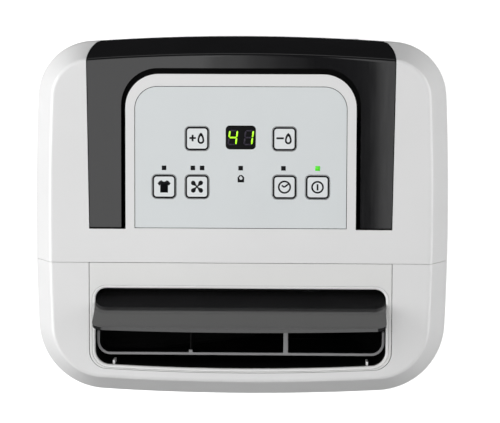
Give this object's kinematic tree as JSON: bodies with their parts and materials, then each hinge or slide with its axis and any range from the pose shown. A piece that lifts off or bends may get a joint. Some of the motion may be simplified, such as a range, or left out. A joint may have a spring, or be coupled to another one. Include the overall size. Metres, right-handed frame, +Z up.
{
  "type": "dehumidifier",
  "caption": "Portable compressor dehumidifier with a top air outlet and flap, a control label with keys and a display, a fold-down carry handle, a front water tank and casters.",
  "frame": {"origin": "on the floor under the middle of the casing, at the lowest point of the wheels", "axes": "+Z up, +Y towards the intake at the back, +X to the user's right as the user faces the front"},
  "size_m": [0.34, 0.296, 0.5981],
  "materials": {
    "casing_white": "satin moulded",
    "handle_black": "high gloss",
    "flap_black": "gloss",
    "label_pale": "printed film",
    "key_pale": "printed key",
    "window_black": "tinted window",
    "base_grey": "fine texture",
    "inner_grey": "moulded",
    "grid_grey": "satin",
    "black_plastic": "moulded",
    "caster_rubber": "moulded",
    "grommet_rubber": "moulded",
    "steel_pin": "turned",
    "motor_steel": "zinc plated",
    "circuit_board": "solder mask",
    "light_pipe": "clear moulded",
    "coil_aluminium": "finned",
    "copper": "drawn copper",
    "compressor_black": "black enamel",
    "tank_clear": "translucent moulded",
    "tray_white": "moulded",
    "filter_mesh": "woven net"
  },
  "bodies": {
    "casing": {"base_tray": "base_grey", "bulkhead": "inner_grey", "capillary_tube": "copper", "compressor": "compressor_black", "compressor_grommet_1": "grommet_rubber", "compressor_grommet_2": "grommet_rubber", "compressor_grommet_3": "grommet_rubber", "condenser": "coil_aluminium", "control_board": "circuit_board", "control_label": "label_pale", "cord_inlet": "black_plastic", "discharge_pipe": "copper", "display_module": "black_plastic", "display_window": "window_black", "drip_tray": "tray_white", "electrical_box": "inner_grey", "evaporator": "coil_aluminium", "fan_motor": "motor_steel", "fan_scroll": "inner_grey", "flap_motor": "motor_steel", "float_sensor": "black_plastic", "front_shell": "casing_white", "light_pipe_strip": "light_pipe", "mid_deck": "inner_grey", "outlet_duct": "inner_grey", "outlet_frame": "casing_white", "outlet_grid": "grid_grey", "rear_shell": "casing_white", "run_capacitor": "motor_steel", "suction_pipe": "copper", "top_cover": "casing_white"},
    "handle": {"carry_handle": "handle_black", "handle_pin_left": "steel_pin", "handle_pin_right": "steel_pin"},
    "flap": {"outlet_flap": "flap_black"},
    "fan": {"fan_wheel": "black_plastic", "fan_shaft": "steel_pin"},
    "tank": {"tank": "tank_clear", "tank_panel": "casing_white", "tank_lid": "tank_clear", "level_window": "tank_clear"},
    "float": {"float_arm": "tray_white"},
    "grille": {"intake_grille": "casing_white", "filter_frame": "inner_grey", "filter_mesh": "filter_mesh"},
    "drain_cap": {"drain_cap": "tray_white"},
    "key_humidity_up": {"key_humidity_up": "key_pale"},
    "key_humidity_down": {"key_humidity_down": "key_pale"},
    "key_laundry": {"key_laundry": "key_pale"},
    "key_fan": {"key_fan": "key_pale"},
    "key_timer": {"key_timer": "key_pale"},
    "key_power": {"key_power": "key_pale"},
    "fork_front_left": {"caster_fork_front_left": "black_plastic"},
    "wheel_front_left": {"caster_wheel_front_left": "caster_rubber"},
    "fork_front_right": {"caster_fork_front_right": "black_plastic"},
    "wheel_front_right": {"caster_wheel_front_right": "caster_rubber"},
    "fork_rear_left": {"caster_fork_rear_left": "black_plastic"},
    "wheel_rear_left": {"caster_wheel_rear_left": "caster_rubber"},
    "fork_rear_right": {"caster_fork_rear_right": "black_plastic"},
    "wheel_rear_right": {"caster_wheel_rear_right": "caster_rubber"}
  },
  "joints": [
    {"name": "handle_fold", "type": "hinge", "parent": "casing", "child": "handle", "pos_m": [0, -0.0005, 0.556], "axis": [1, 0, 0], "range_deg": [0, 90]},
    {"name": "flap_swing", "type": "hinge", "parent": "casing", "child": "flap", "pos_m": [0, -0.0725, 0.5521], "axis": [-1, 0, 0], "range_deg": [-67, 10]},
    {"name": "fan_spin", "type": "hinge", "parent": "casing", "child": "fan", "pos_m": [0, -0.09, 0.362], "axis": [0, 1, 0], "continuous": true},
    {"name": "tank_slide", "type": "slide", "parent": "casing", "child": "tank", "axis": [0, -1, 0], "range_m": [0, 0.2]},
    {"name": "float_lift", "type": "hinge", "parent": "tank", "child": "float", "pos_m": [-0.07, -0.03, 0.222], "axis": [-1, 0, 0], "range_deg": [0, 18]},
    {"name": "grille_pull", "type": "slide", "parent": "casing", "child": "grille", "axis": [0, 1, 0], "range_m": [0, 0.15]},
    {"name": "drain_cap_pull", "type": "slide", "parent": "casing", "child": "drain_cap", "axis": [0, 1, 0], "range_m": [0, 0.03]},
    {"name": "press_humidity_up", "type": "slide", "parent": "casing", "child": "key_humidity_up", "axis": [0, 0, -1], "range_m": [0, 0.0006], "stiffness_N_per_m": 900, "springref_m": -0.0004},
    {"name": "press_humidity_down", "type": "slide", "parent": "casing", "child": "key_humidity_down", "axis": [0, 0, -1], "range_m": [0, 0.0006], "stiffness_N_per_m": 900, "springref_m": -0.0004},
    {"name": "press_laundry", "type": "slide", "parent": "casing", "child": "key_laundry", "axis": [0, 0, -1], "range_m": [0, 0.0006], "stiffness_N_per_m": 900, "springref_m": -0.0004},
    {"name": "press_fan", "type": "slide", "parent": "casing", "child": "key_fan", "axis": [0, 0, -1], "range_m": [0, 0.0006], "stiffness_N_per_m": 900, "springref_m": -0.0004},
    {"name": "press_timer", "type": "slide", "parent": "casing", "child": "key_timer", "axis": [0, 0, -1], "range_m": [0, 0.0006], "stiffness_N_per_m": 900, "springref_m": -0.0004},
    {"name": "press_power", "type": "slide", "parent": "casing", "child": "key_power", "axis": [0, 0, -1], "range_m": [0, 0.0006], "stiffness_N_per_m": 900, "springref_m": -0.0004},
    {"name": "swivel_front_left", "type": "hinge", "parent": "casing", "child": "fork_front_left", "pos_m": [-0.118, -0.096, 0.034], "axis": [0, 0, 1], "continuous": true},
    {"name": "roll_front_left", "type": "hinge", "parent": "fork_front_left", "child": "wheel_front_left", "pos_m": [-0.118, -0.087, 0.014], "axis": [1, 0, 0], "continuous": true},
    {"name": "swivel_front_right", "type": "hinge", "parent": "casing", "child": "fork_front_right", "pos_m": [0.118, -0.096, 0.034], "axis": [0, 0, 1], "continuous": true},
    {"name": "roll_front_right", "type": "hinge", "parent": "fork_front_right", "child": "wheel_front_right", "pos_m": [0.118, -0.087, 0.014], "axis": [1, 0, 0], "continuous": true},
    {"name": "swivel_rear_left", "type": "hinge", "parent": "casing", "child": "fork_rear_left", "pos_m": [-0.118, 0.096, 0.034], "axis": [0, 0, 1], "continuous": true},
    {"name": "roll_rear_left", "type": "hinge", "parent": "fork_rear_left", "child": "wheel_rear_left", "pos_m": [-0.118, 0.105, 0.014], "axis": [1, 0, 0], "continuous": true},
    {"name": "swivel_rear_right", "type": "hinge", "parent": "casing", "child": "fork_rear_right", "pos_m": [0.118, 0.096, 0.034], "axis": [0, 0, 1], "continuous": true},
    {"name": "roll_rear_right", "type": "hinge", "parent": "fork_rear_right", "child": "wheel_rear_right", "pos_m": [0.118, 0.105, 0.014], "axis": [1, 0, 0], "continuous": true}
  ]
}
